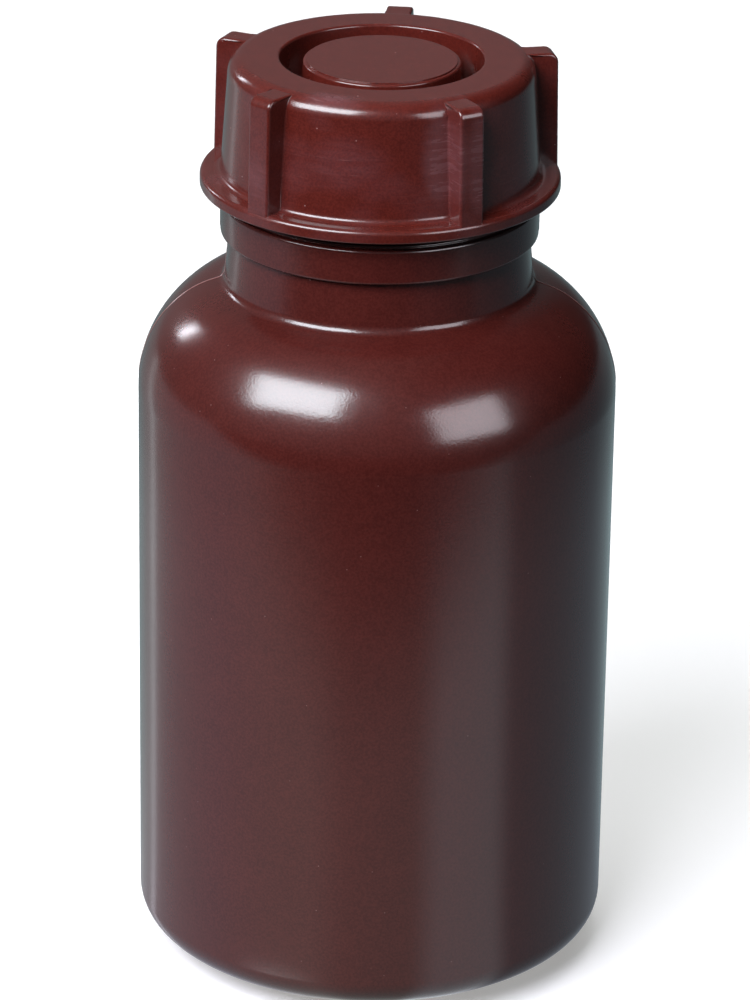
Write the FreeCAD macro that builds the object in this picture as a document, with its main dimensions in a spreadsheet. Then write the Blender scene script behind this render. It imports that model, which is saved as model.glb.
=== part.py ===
import FreeCAD, Part
import math
import os
import re
import Sketcher

# Wide-mouth laboratory bottle: a blow-moulded bottle and its injection-moulded screw cap.
# Millimetres, +Z up. The origin is on the bottle's axis, on the surface that it stands on.

sizes = {
    # bottle body
    "bodyDiameter": 78.0,
    "sideHeight": 97.9,
    "wall": 1.2,
    "shoulderHeight": 18.5,
    "shoulderEaseRatio": 1.028,
    "shoulderBreakRatio": 0.68,
    # bottle base
    "heelRadius": 5.2,
    "heelAngle": 54.3,
    "underRadius": 19.0,
    "standWidth": 1.6,
    "pushUp": 3.0,
    "baseWall": 1.9,
    "weldInset": 4.5,
    "weldWidth": 1.4,
    "weldHeight": 0.6,
    # neck below the cap
    "neckHeight": 8.5,
    "neckWall": 1.8,
    "neckFlare": 0.8,
    "neckFillet": 1.8,
    "collarHeight": 5.8,
    "collarUndercut": 1.45,
    "collarReach": 2.8,
    "collarEdge": 0.5,
    "beadInset": 0.95,
    "beadHeight": 0.5,
    "beadEdge": 0.25,
    # threaded finish of the neck
    "finishHeight": 21.3,
    "mouthDiameter": 38.0,
    "finishWall": 2.6,
    "finishStep": 1.3,
    "finishStepHeight": 2.9,
    "boreRunOut": 1.0,
    "ledgeFillet": 0.4,
    "rimEdge": 0.5,
    "threadHeight": 1.2,
    # cap on the finish
    "threadClearance": 0.3,
    "stepClearance": 0.5,
    "seatClearance": 0.2,
    "plugClearance": 0.25,
    "capGap": 2.3,
    "capTurn": 12.0,
    # cap shell
    "landThickness": 2.0,
    "skirtWallTop": 1.4,
    "skirtWallFoot": 2.65,
    "skirtRelief": 1.5,
    "capEdge": 2.2,
    "flangeReach": 3.3,
    "flangeThickness": 2.15,
    "flangeFillet": 1.0,
    "flangeEdge": 0.35,
    # plug seal well in the cap's top
    "wellDepth": 8.0,
    "wellWidth": 3.7,
    "wellDraft": 0.4,
    "wellFillet": 0.8,
    "wellLip": 0.45,
    "plugWall": 2.4,
    "plugTaper": 0.7,
    "plugFloor": 1.6,
    # disc in the middle of the well
    "discDrop": 0.4,
    "discStep": 0.22,
    "discStepWidth": 0.55,
    "discDraft": 0.3,
    "discWall": 1.7,
    "discPlate": 1.8,
    "discEdge": 0.4,
    # grip ribs
    "ribCount": 5,
    "ribWidth": 4.3,
    "ribInset": 0.05,
    "ribDraft": 0.2,
    "ribDrop": 0.3,
    "ribCrown": 1.6,
    "ribEdge": 0.45,
}

# places on the bottle, as expressions in the sizes: radii from the axis, heights from the ground
side = "bodyDiameter / 2"
mouth = "mouthDiameter / 2"
core = f"({mouth} + finishWall)"
step = f"({core} + finishStep)"
collar = f"({step} + collarReach)"
neck_top = f"({collar} - collarUndercut)"
neck_foot = f"({neck_top} + neckFlare)"
heel_centre = f"({side} - heelRadius)"
stand_outer = f"({heel_centre} - (underRadius - heelRadius) * cos(heelAngle))"
stand_inner = f"({stand_outer} - standWidth)"
heel_height = "(underRadius - (underRadius - heelRadius) * sin(heelAngle))"
shoulder_top = "(sideHeight + shoulderHeight)"
collar_foot = f"({shoulder_top} + neckHeight)"
collar_top = f"({collar_foot} + collarHeight)"
bead = f"({collar} - beadInset)"
bead_top = f"({collar_top} + beadHeight)"
step_top = f"({collar_top} + finishStepHeight)"
rim = f"({collar_top} + finishHeight)"

# places on the cap, with heights from its own foot
cap_top = "(finishHeight + seatClearance + landThickness - capGap)"
land_under = f"({cap_top} - landThickness)"
bore = f"({core} + threadHeight + threadClearance)"
relief = f"({step} + stepClearance)"
relief_top = "(finishStepHeight - capGap + skirtRelief)"
skirt_top = f"({bore} + skirtWallTop)"
skirt_foot = f"({bore} + skirtWallFoot)"
flange = f"({skirt_foot} + flangeReach)"
plug = f"({mouth} - plugClearance)"
plug_tip = f"({plug} - plugTaper)"
well = f"({plug} - plugWall)"
well_floor = f"({cap_top} - wellDepth)"
plug_foot = f"({well_floor} - plugFloor)"
disc = f"({well} - wellWidth)"
disc_foot = f"({disc} + discDraft)"
plateau = f"({cap_top} - discDrop)"
disc_rim = f"({plateau} - discStep)"
hollow_top = f"({plateau} - discPlate)"
rib_top = f"({cap_top} - ribDrop)"
rib_foot_reach = f"(sqrt(({flange} - flangeEdge) ^ 2 - ribWidth ^ 2 / 4) - ribInset)"
rib_top_reach = f"({rib_foot_reach} - ribDraft)"

doc = FreeCAD.newDocument("wide_mouth_bottle")
sheet = doc.addObject("Spreadsheet::Sheet", "Sizes")
for row, (name, size) in enumerate(sizes.items(), start=1):
    sheet.set(f"A{row}", name)
    sheet.set(f"B{row}", str(size))
    sheet.setAlias(f"B{row}", name)
doc.recompute()


def in_sheet(text):
    # the expression with each size's name pointing at its cell
    return re.sub(r"[A-Za-z]\w*", lambda word: "Sizes." + word[0] if word[0] in sizes else word[0], text)


def value(text):
    return float(sheet.evalExpression(in_sheet(text)))


def origin_part(body, role):
    return next(feature for feature in body.Origin.OriginFeatures if feature.Role == role)


def arc_between(start, end, radius):
    # the shorter arc from start to end that turns left
    run = end - start
    half = run.Length / 2
    across = FreeCAD.Vector(-run.y, run.x, 0).normalize()
    centre = start + run * 0.5 + across * math.sqrt(max(radius * radius - half * half, 0.0))
    first = math.atan2(start.y - centre.y, start.x - centre.x)
    last = math.atan2(end.y - centre.y, end.x - centre.x)
    return Part.ArcOfCircle(Part.Circle(centre, FreeCAD.Vector(0, 0, 1), radius), first, last)


def add_outline(body, name, corners):
    # A closed section on the body's XZ plane. Each corner is (out, up) or (out, up, turn, radius):
    # an arc that turns "left" or "right" then runs to the next corner, and else a straight line.
    sketch = body.newObject("Sketcher::SketchObject", name)
    sketch.AttachmentSupport = (origin_part(body, "XZ_Plane"), [""])
    sketch.MapMode = "FlatFace"
    places = [FreeCAD.Vector(value(corner[0]), value(corner[1]), 0) for corner in corners]
    starts = []
    ends = []
    for index, corner in enumerate(corners):
        here = places[index]
        there = places[(index + 1) % len(corners)]
        turn = corner[2] if len(corner) > 2 else "straight"
        if turn == "straight":
            edge = Part.LineSegment(here, there)
        elif turn == "left":
            edge = arc_between(here, there, value(corner[3]))
        else:
            edge = arc_between(there, here, value(corner[3]))
        sketch.addGeometry(edge, False)
        starts.append(2 if turn == "right" else 1)
        ends.append(1 if turn == "right" else 2)
        if turn != "straight":
            held = sketch.addConstraint(Sketcher.Constraint("Radius", index, value(corner[3])))
            sketch.setExpression(f"Constraints[{held}]", in_sheet(corner[3]))
    for index, corner in enumerate(corners):
        following = (index + 1) % len(corners)
        sketch.addConstraint(
            Sketcher.Constraint("Coincident", index, ends[index], following, starts[following])
        )
        for axis, text, zero_line in (("DistanceX", corner[0], -2), ("DistanceY", corner[1], -1)):
            if text == "0":
                sketch.addConstraint(Sketcher.Constraint("PointOnObject", index, starts[index], zero_line))
                continue
            held = sketch.addConstraint(
                Sketcher.Constraint(axis, -1, 1, index, starts[index], value(text))
            )
            sketch.setExpression(f"Constraints[{held}]", in_sheet(text))
    doc.recompute()
    return sketch


def revolve(body, kind, name, corners):
    # turns a section about the body's axis, to add or to cut
    sketch = add_outline(body, name + "_section", corners)
    before = body.Shape.Volume if kind == "Groove" else 0.0
    feature = body.newObject("PartDesign::" + kind, name)
    feature.Profile = sketch
    feature.ReferenceAxis = (sketch, ["V_Axis"])
    feature.Angle = 360
    doc.recompute()
    if abs(body.Shape.Volume - before) < 1.0:
        raise RuntimeError(name + " changed nothing")
    return feature


def round_circles(body, name, radius, places):
    # rounds the circular edges that lie at the given radii and heights
    base = body.Tip
    wanted = [(value(out), value(up)) for out, up in places]
    edges = []
    for index, edge in enumerate(base.Shape.Edges, start=1):
        if edge.Degenerated or not isinstance(edge.Curve, Part.Circle):
            continue
        centre = edge.Curve.Center
        if math.hypot(centre.x, centre.y) > 1e-4:
            continue
        if any(math.hypot(edge.Curve.Radius - out, centre.z - up) < 1e-3 for out, up in wanted):
            edges.append(f"Edge{index}")
    if len(edges) != len(places):
        raise RuntimeError(f"{name}: {len(edges)} edges found for {len(places)} places")
    fillet = body.newObject("PartDesign::Fillet", name)
    fillet.Base = (base, edges)
    fillet.setExpression("Radius", in_sheet(radius))
    doc.recompute()
    return fillet


def dome_radius(half_width, rise):
    # radius of a shallow dome over a circle of that half width
    return f"({half_width} ^ 2 + {rise} ^ 2) / (2 * {rise})"


def shoulder(start, foot, rise):
    # Corners of the shoulder, from the side's top to just before the neck. One plain arc would join
    # them, but the lower bend is eased by a little, for a share of the turn, and the upper one is
    # then tighter.
    run = f"({start} - {foot})"
    lower = f"(shoulderEaseRatio * ({run} ^ 2 + {rise} ^ 2) / (2 * {run}))"
    turn = f"(shoulderBreakRatio * 2 * atan({run} / {rise}))"
    break_out = f"({start} - {lower} * (1 - cos({turn})))"
    break_up = f"({lower} * sin({turn}))"
    left_out = f"({break_out} - {foot})"
    left_up = f"({rise} - {break_up})"
    upper = f"({left_out} ^ 2 + {left_up} ^ 2) / (2 * ({left_out} * cos({turn}) - {left_up} * sin({turn})))"
    return [
        (start, "sideHeight", "left", lower),
        (break_out, f"sideHeight + {break_up}", "left", upper),
    ]


def blow_moulded_bottle():
    body = doc.addObject("PartDesign::Body", "bottle")
    body.Label = "bottle"

    heel_out = f"{stand_outer} + underRadius * cos(heelAngle)"
    heel_up = "underRadius * (1 - sin(heelAngle))"
    revolve(body, "Revolution", "outer_form", [
        ("0", "pushUp", "right", dome_radius(stand_inner, "pushUp")),
        (stand_inner, "0"),
        (stand_outer, "0", "left", "underRadius"),
        (heel_out, heel_up, "left", "heelRadius"),
        (side, heel_height),
        *shoulder(side, neck_foot, "shoulderHeight"),
        (neck_foot, shoulder_top),
        (neck_top, collar_foot),
        (collar, collar_foot),
        (collar, collar_top),
        (bead, collar_top),
        (bead, bead_top),
        (step, bead_top),
        (step, step_top),
        (core, step_top),
        (core, rim),
        ("0", rim),
    ])

    # the pinch-off weld across the hollow of the base, left where the mould closed on the parison
    hollow_radius = dome_radius(stand_inner, "pushUp")
    dome_low = f"pushUp - {hollow_radius}"
    half_weld = f"({stand_inner} - weldInset)"
    weld_low = f"({hollow_radius} - weldHeight)"
    weld_high = f"({hollow_radius} + baseWall / 2)"
    low_end = f"{dome_low} + sqrt({weld_low} ^ 2 - {half_weld} ^ 2)"
    high_end = f"{dome_low} + sqrt({weld_high} ^ 2 - {half_weld} ^ 2)"
    weld_section = add_outline(body, "weld_section", [
        (f"-{half_weld}", high_end),
        (f"-{half_weld}", low_end, "right", weld_low),
        (half_weld, low_end),
        (half_weld, high_end, "left", weld_high),
    ])
    weld = body.newObject("PartDesign::Pad", "pinch_off_weld")
    weld.Profile = weld_section
    weld.SideType = "Symmetric"
    weld.setExpression("Length", in_sheet("weldWidth"))
    doc.recompute()

    inner_side = f"({side} - wall)"
    inner_neck = f"({neck_foot} - neckWall)"
    inner_rise = "(shoulderHeight - wall)"
    floor_rise = "(pushUp + baseWall - wall)"
    inner_heel_out = f"{stand_outer} + (underRadius - wall) * cos(heelAngle)"
    inner_heel_up = "underRadius - (underRadius - wall) * sin(heelAngle)"
    revolve(body, "Groove", "cavity", [
        ("0", "pushUp + baseWall", "right", dome_radius(stand_inner, floor_rise)),
        (stand_inner, "wall"),
        (stand_outer, "wall", "left", "underRadius - wall"),
        (inner_heel_out, inner_heel_up, "left", "heelRadius - wall"),
        (inner_side, heel_height),
        *shoulder(inner_side, inner_neck, inner_rise),
        (inner_neck, f"sideHeight + {inner_rise}"),
        (f"{neck_top} - neckWall", collar_foot),
        (mouth, f"{collar_top} + boreRunOut"),
        (mouth, rim),
        ("0", rim),
    ])

    round_circles(body, "neck_fillet", "neckFillet", [(neck_foot, shoulder_top)])
    round_circles(body, "collar_edges", "collarEdge", [(collar, collar_foot), (collar, collar_top)])
    round_circles(body, "bead_edge", "beadEdge", [(bead, bead_top)])
    round_circles(body, "ledge_fillet", "ledgeFillet", [(step, bead_top), (core, step_top)])
    round_circles(body, "rim_edges", "rimEdge", [(core, rim), (mouth, rim)])
    return body


def add_ribs(body):
    # one grip rib on the skirt, its inner side buried in the wall, then the ring of them
    buried = f"{bore} + skirtWallTop / 2"
    section = add_outline(body, "rib_section", [
        (buried, "flangeThickness / 2"),
        (rib_foot_reach, "flangeThickness / 2"),
        (rib_top_reach, f"{rib_top} - ribCrown", "left", "ribCrown"),
        (f"{rib_top_reach} - ribCrown", rib_top),
        (f"{skirt_top} - capEdge", rib_top),
        (f"{skirt_top} - capEdge", f"{land_under} + landThickness / 2"),
        (buried, land_under),
    ])
    rib = body.newObject("PartDesign::Pad", "rib")
    rib.Profile = section
    rib.SideType = "Symmetric"
    rib.setExpression("Length", in_sheet("ribWidth"))
    doc.recompute()
    ring = body.newObject("PartDesign::PolarPattern", "rib_ring")
    ring.Originals = [rib]
    ring.Axis = (origin_part(body, "Z_Axis"), [""])
    ring.Angle = 360
    ring.setExpression("Occurrences", in_sheet("ribCount"))
    body.Tip = ring
    doc.recompute()

    # the outer edges of every rib, found in the frame of the rib they belong to
    pitch = 2 * math.pi / sizes["ribCount"]
    half = value("ribWidth / 2")
    outer = value(f"{rib_top_reach} - ribCrown * 1.5")
    top = value(rib_top)
    clear_of_flange = value("flangeThickness + flangeFillet")
    edges = []
    for index, edge in enumerate(ring.Shape.Edges, start=1):
        points = edge.discretize(5)
        turn = round(math.atan2(points[2].y, points[2].x) / pitch) * pitch
        across = [point.y * math.cos(turn) - point.x * math.sin(turn) for point in points]
        out = points[2].x * math.cos(turn) + points[2].y * math.sin(turn)
        if max(abs(abs(place) - half) for place in across) > 1e-3:
            continue
        if points[2].z > clear_of_flange and (out > outer or abs(points[2].z - top) < 1e-3):
            edges.append(f"Edge{index}")
    fillet = body.newObject("PartDesign::Fillet", "rib_edges")
    fillet.Base = (ring, edges)
    fillet.setExpression("Radius", in_sheet("ribEdge"))
    doc.recompute()


def injection_moulded_cap():
    body = doc.addObject("PartDesign::Body", "screw_cap")
    body.Label = "screw_cap"

    # skirt, land, plug seal and disc are one section with walls of about one thickness
    revolve(body, "Revolution", "shell", [
        ("0", plateau),
        (f"{disc} - discStepWidth", plateau),
        (f"{disc} - discStepWidth", disc_rim),
        (disc, disc_rim),
        (disc_foot, well_floor),
        (f"{well} - wellDraft", well_floor),
        (well, cap_top),
        (skirt_top, cap_top),
        (skirt_foot, "flangeThickness"),
        (flange, "flangeThickness"),
        (flange, "0"),
        (relief, "0"),
        (relief, relief_top),
        (bore, relief_top),
        (bore, land_under),
        (plug, land_under),
        (plug_tip, plug_foot),
        (f"{disc_foot} - discWall", plug_foot),
        (f"{disc} - discWall", hollow_top),
        ("0", hollow_top),
    ])
    round_circles(body, "cap_edge", "capEdge", [(skirt_top, cap_top)])
    round_circles(body, "well_lip", "wellLip", [(well, cap_top)])
    round_circles(body, "well_fillet", "wellFillet", [
        (disc_foot, well_floor),
        (f"{well} - wellDraft", well_floor),
        (plug_tip, plug_foot),
    ])
    round_circles(body, "disc_edge", "min(discEdge; discStepWidth * 0.9)", [(disc, disc_rim)])
    round_circles(body, "flange_fillet", "flangeFillet", [(skirt_foot, "flangeThickness")])
    round_circles(body, "flange_edges", "flangeEdge", [(flange, "flangeThickness"), (flange, "0")])
    add_ribs(body)

    # screwed down: the foot stands its gap above the collar, turned to where the thread stopped
    body.Placement = FreeCAD.Placement(
        FreeCAD.Vector(0, 0, value(f"{collar_top} + capGap")),
        FreeCAD.Rotation(FreeCAD.Vector(0, 0, 1), sizes["capTurn"]),
    )
    body.setExpression("Placement.Base.z", in_sheet(f"{collar_top} + capGap"))
    body.setExpression("Placement.Rotation.Angle", in_sheet("capTurn"))
    return body


parts = [blow_moulded_bottle(), injection_moulded_cap()]
doc.recompute()

for item in doc.Objects:
    if "Invalid" in item.State or "Error" in item.State:
        raise RuntimeError(f"{item.Label} failed to rebuild: {item.State}")
for part in parts:
    if part.Shape.isNull() or not part.Shape.isValid() or len(part.Shape.Solids) != 1:
        raise RuntimeError(f"{part.Label} isn't one sound solid")

os.makedirs("parts", exist_ok=True)
for part in parts:
    part.Shape.exportStep(f"parts/{part.Label}.step")
    box = part.Shape.optimalBoundingBox()
    print(f"{part.Label}: {part.Shape.Volume / 1000:.2f} cm3, z {box.ZMin:.2f} to {box.ZMax:.2f}, "
          f"x {box.XMin:.2f} to {box.XMax:.2f}, y {box.YMin:.2f} to {box.YMax:.2f}")
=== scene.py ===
import math
import bpy
from mathutils import Matrix, Vector


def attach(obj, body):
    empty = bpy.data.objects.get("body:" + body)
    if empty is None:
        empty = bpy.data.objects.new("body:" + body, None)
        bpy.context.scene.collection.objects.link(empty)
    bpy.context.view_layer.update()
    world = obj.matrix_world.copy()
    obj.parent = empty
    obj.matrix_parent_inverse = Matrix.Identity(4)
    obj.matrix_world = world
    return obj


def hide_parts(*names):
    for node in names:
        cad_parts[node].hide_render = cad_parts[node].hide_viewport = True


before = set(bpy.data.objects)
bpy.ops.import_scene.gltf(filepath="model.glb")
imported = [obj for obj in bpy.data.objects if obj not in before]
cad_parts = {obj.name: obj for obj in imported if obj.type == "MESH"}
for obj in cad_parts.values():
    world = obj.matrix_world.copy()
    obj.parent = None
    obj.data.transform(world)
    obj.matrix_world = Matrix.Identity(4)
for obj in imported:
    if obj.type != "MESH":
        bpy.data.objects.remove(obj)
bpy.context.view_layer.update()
print("frame loaded:", sorted(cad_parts))

mm = 0.001
bendStep = 0.9       # mm between the points of a long bend
fewestSteps = 8      # and how many a short one has at least


# shared helpers

def linear(hexColour):
    # sRGB hex to the linear colour that shaders take
    channels = [int(hexColour[i:i + 2], 16) / 255 for i in (1, 3, 5)]
    return tuple(c / 12.92 if c <= 0.04045 else ((c + 0.055) / 1.055) ** 2.4 for c in channels) + (1.0,)


def addNode(tree, kind, inputs=None, **settings):
    # one shader node with its settings, and its inputs set or linked; a node that is given as a
    # source feeds its first output that is in use
    node = tree.nodes.new(kind)
    for name, setting in settings.items():
        setattr(node, name, setting)
    for name, source in (inputs or {}).items():
        if isinstance(source, bpy.types.Node):
            source = next(output for output in source.outputs if output.enabled)
        if isinstance(source, bpy.types.NodeSocket):
            tree.links.new(source, node.inputs[name])
        else:
            node.inputs[name].default_value = source
    return node


def newMaterial(name):
    material = bpy.data.materials.new(name)
    material.use_nodes = True
    material.node_tree.nodes.clear()
    return material


def bendPoints(start, end, radius):
    # points on the arc from start to end, turning left, or right where the radius is minus
    run = end - start
    across = Vector((-run.y, run.x)).normalized() * math.copysign(1, radius)
    middle = (start + end) / 2 + across * math.sqrt(max(radius ** 2 - (run.length / 2) ** 2, 0))
    first = math.atan2(start.y - middle.y, start.x - middle.x)
    sweep = math.atan2(end.y - middle.y, end.x - middle.x) - first
    sweep = (sweep + math.pi) % (2 * math.pi) - math.pi
    steps = max(fewestSteps, round(abs(sweep * radius) / bendStep))
    angles = [first + sweep * i / steps for i in range(steps + 1)]
    return [middle + Vector((math.cos(a), math.sin(a))) * abs(radius) for a in angles]


def roundedCorner(before, corner, after, radius, steps=7):
    # the arc that takes a sharp corner's place, and how far it reaches along both sides
    back, ahead = (before - corner).normalized(), (after - corner).normalized()
    half = back.angle(ahead) / 2
    reach = radius / math.tan(half)
    middle = corner + (back + ahead).normalized() * radius / math.sin(half)
    first, last = corner + back * reach - middle, corner + ahead * reach - middle
    turn = first.angle_signed(last)
    return [middle + Matrix.Rotation(-turn * i / steps, 2) @ first for i in range(steps + 1)], reach


def outline(corners):
    # a section's path from corners (out, up, rounding, bend), where the bend is the radius of the arc
    # that leads to the next corner
    places = [Vector(corner[:2]) for corner in corners]
    runs = []
    for here, there, corner in zip(places, places[1:], corners):
        runs.append(bendPoints(here, there, corner[3]) if len(corner) > 3 else [here, there])
    turns, reaches = [[places[0]]], [0]
    for i in range(1, len(places) - 1):
        rounding = corners[i][2] if len(corners[i]) > 2 else 0
        arc, reach = [places[i]], 0
        if rounding:
            arc, reach = roundedCorner(runs[i - 1][-2], places[i], runs[i][1], rounding)
        turns.append(arc)
        reaches.append(reach)
    reaches.append(0)
    clear = 1.05     # a bend keeps its points that are this many reaches away from a rounding's corner
    path = []
    for i, run in enumerate(runs):
        path += turns[i]
        path += [p for p in run[1:-1] if (p - places[i]).length > reaches[i] * clear
                 and (p - places[i + 1]).length > reaches[i + 1] * clear]
    return path + [places[-1]]


def turnedGrid(path, angles, lift=None):
    # points and faces of a path turned about Z; lift(angle, point) pushes the surface outwards
    points, faces, rows = [], [], []
    for i, place in enumerate(path):
        if place.x < 1e-6:           # a point on the axis, which all the columns share
            rows.append([len(points)])
            points.append((0, 0, place.y))
            continue
        along = path[min(i + 1, len(path) - 1)] - path[max(i - 1, 0)]
        outward = Vector((along.y, -along.x)).normalized()
        rows.append(list(range(len(points), len(points) + len(angles))))
        for angle in angles:
            spot = place + outward * lift(angle, place) if lift else place
            points.append((spot.x * math.cos(angle), spot.x * math.sin(angle), spot.y))
    for low, high in zip(rows, rows[1:]):
        for k in range(len(angles)):
            j = (k + 1) % len(angles)
            if len(low) == 1:
                faces.append((low[0], high[j], high[k]))
            elif len(high) == 1:
                faces.append((low[k], low[j], high[0]))
            else:
                faces.append((low[k], low[j], high[j], high[k]))
    return points, faces


def sheetGrid(rows):
    # points and faces of rows of equal length
    points = [tuple(p) for row in rows for p in row]
    width = len(rows[0])
    faces = []
    for i in range(len(rows) - 1):
        for j in range(width - 1):
            a = i * width + j
            faces.append((a, a + 1, a + width + 1, a + width))
    return points, faces


def makePiece(name, grids, material, body, node):
    # one smooth-shaded mesh object from several grids in millimetres, riding on its body
    points, faces = [], []
    for gridPoints, gridFaces in grids:
        start = len(points)
        points += [tuple(c * mm for c in p) for p in gridPoints]
        faces += [tuple(start + i for i in face) for face in gridFaces]
    mesh = bpy.data.meshes.new(name)
    mesh.from_pydata(points, [], faces)
    mesh.validate()
    mesh.shade_smooth()
    mesh.materials.append(material)
    piece = bpy.data.objects.new(name, mesh)
    bpy.context.scene.collection.objects.link(piece)
    even = piece.modifiers.new("even shading", "WEIGHTED_NORMAL")
    even.keep_sharp = True
    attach(piece, body)
    if node:
        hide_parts(node)
    return piece


def smooth(t):
    # from 0 to 1 with soft ends
    t = min(max(t, 0), 1)
    return t * t * (3 - 2 * t)


# materials

soft = {"interpolation_type": "SMOOTHSTEP"}
falling = {"To Min": 1.0, "To Max": 0.0}     # a map range that is 1 at From Min and 0 at From Max

hdpe = {
    "refraction": 1.54,      # typical of high-density polyethylene
    "hazeWeight": 0.25,      # its skin also scatters a little light widely
    "hazeRoughness": 0.45,
    "hazeRefraction": 1.4,
    "grainDeep": 0.3,        # the grain's noise at which the colour is deep
    "grainPlain": 0.7,       # and at which it is plain
    "grainStrength": 0.6,
}


def grainTone(tree, grain):
    # how much the grain deepens the colour
    return addNode(tree, "ShaderNodeMapRange", {
        "Value": grain, "From Min": hdpe["grainDeep"], "From Max": hdpe["grainPlain"], **falling}, **soft)


def specks(tree, place, look):
    # small dots scattered through the plastic, so that the surface meets one here and there
    size, share = look["speckSize"] / look["speckSpacing"], look["speckShare"]
    core = 0.4       # the share of a speck's size from where on it fades
    dots = addNode(tree, "ShaderNodeTexVoronoi", {"Vector": place, "Scale": 1 / (look["speckSpacing"] * mm)})
    near = addNode(tree, "ShaderNodeMapRange", {
        "Value": dots.outputs["Distance"], "From Min": core * size, "From Max": size, **falling}, **soft)
    # a dot is kept where its own random number is below the share
    lot = addNode(tree, "ShaderNodeSeparateColor", {"Color": dots.outputs["Color"]})
    chosen = addNode(tree, "ShaderNodeMapRange", {
        "Value": lot.outputs["Red"], "From Min": share, "From Max": share + 0.02, **falling}, **soft)
    dots = addNode(tree, "ShaderNodeMath", {0: near, 1: chosen}, operation="MULTIPLY")
    return addNode(tree, "ShaderNodeMath", {0: dots, 1: look["speckStrength"]}, operation="MULTIPLY")


def hdpeSurface(tree, colour, polish, normal):
    # the plastic's gloss, with a thin and wide haze over it
    plastic = addNode(tree, "ShaderNodeBsdfPrincipled", {
        "Base Color": colour, "Roughness": polish, "IOR": hdpe["refraction"], "Normal": normal,
        "Coat Weight": hdpe["hazeWeight"], "Coat Roughness": hdpe["hazeRoughness"],
        "Coat IOR": hdpe["hazeRefraction"], "Coat Normal": normal})
    addNode(tree, "ShaderNodeOutputMaterial", {"Surface": plastic})


def partingHighlight(tree, place, look):
    # how much of the pale painted highlight along the ridge where the mould's halves met shows: along X and
    # Z, on the outside alone
    apart = addNode(tree, "ShaderNodeSeparateXYZ", {"Vector": place})
    aside = addNode(tree, "ShaderNodeMath", {0: apart.outputs["Y"]}, operation="ABSOLUTE")
    line = addNode(tree, "ShaderNodeMapRange", {
        "Value": aside, "From Min": look["lineCore"] * mm, "From Max": look["lineEdge"] * mm,
        **falling}, **soft)
    # inside, the surface faces the axis, by more mm of its radius than anywhere on the outside
    fromAxis = addNode(tree, "ShaderNodeVectorMath", {0: place, 1: (1.0, 1.0, 0.0)}, operation="MULTIPLY")
    normal = addNode(tree, "ShaderNodeNewGeometry").outputs["Normal"]
    facing = addNode(tree, "ShaderNodeVectorMath", {0: fromAxis, 1: normal}, operation="DOT_PRODUCT")
    outside = addNode(tree, "ShaderNodeMapRange", {
        "Value": facing, "From Min": -look["outsideMost"] * mm, "From Max": -look["insideLeast"] * mm,
        **falling}, **soft)
    line = addNode(tree, "ShaderNodeMath", {0: line, 1: outside}, operation="MULTIPLY")
    return addNode(tree, "ShaderNodeMath", {0: line, 1: look["lineStrength"]}, operation="MULTIPLY")


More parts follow.
